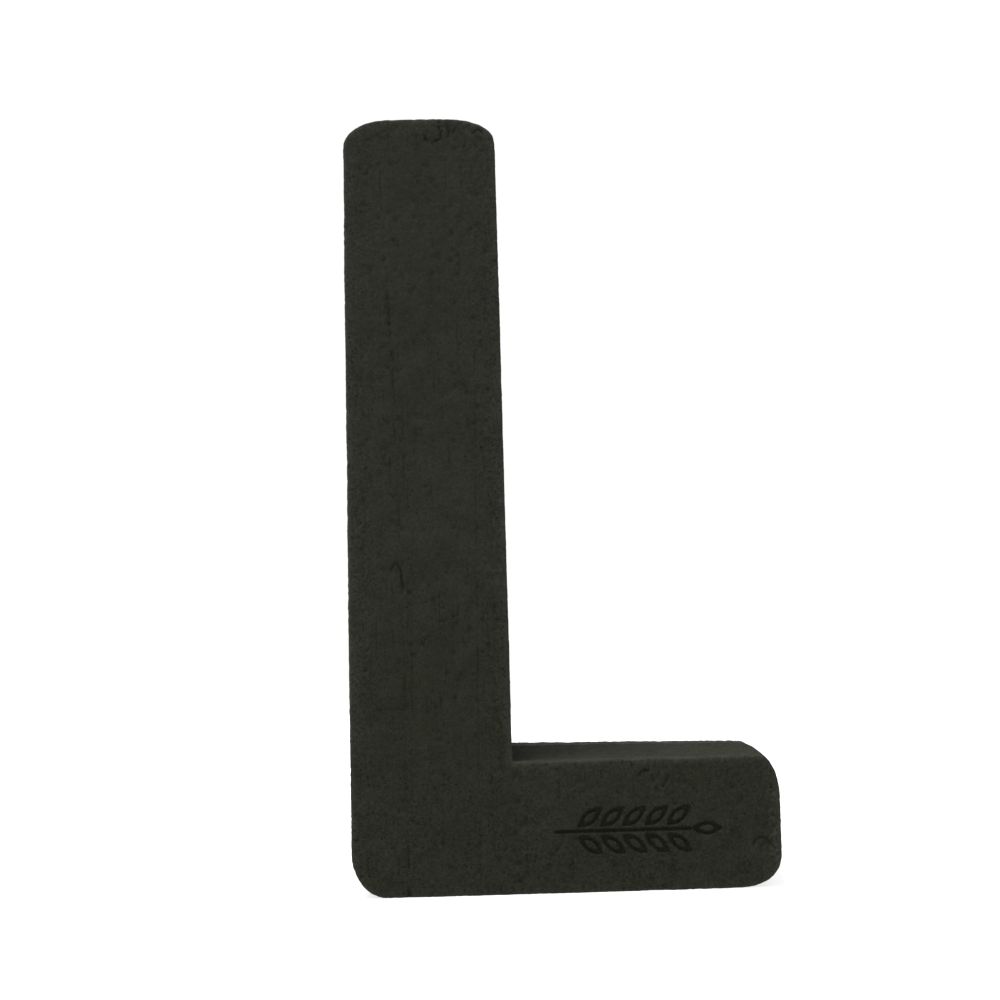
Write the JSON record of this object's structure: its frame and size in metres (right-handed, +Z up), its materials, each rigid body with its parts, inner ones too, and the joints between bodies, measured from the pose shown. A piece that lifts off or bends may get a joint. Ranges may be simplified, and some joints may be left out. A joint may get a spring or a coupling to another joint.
{
  "type": "floral foam letter",
  "caption": "Upright capital L of wet floral foam on a glued backing board, with rounded corners and a small pressed sprig on its foot.",
  "frame": {"origin": "on the supporting surface, under the middle of the letter's box", "axes": "+Z up along the stem, +X along the foot from the stem to its free end, -Y out of the decorating face, +Y out of the backing board"},
  "size_m": [0.155, 0.05, 0.29],
  "materials": {
    "wet_foam": "open-cell phenolic foam, near-black olive, dull and crumbly",
    "backing_foam": "expanded polystyrene, near-black, wire cut, with fused beads showing",
    "adhesive": "set foam adhesive, amber, slightly glossy"
  },
  "bodies": {
    "root": {"foam_letter": "wet_foam", "backing_board": "backing_foam", "glue_bead_stem_outer": "adhesive", "glue_bead_stem_inner": "adhesive", "glue_bead_foot_upper": "adhesive", "glue_bead_foot_lower": "adhesive"}
  },
  "joints": []
}
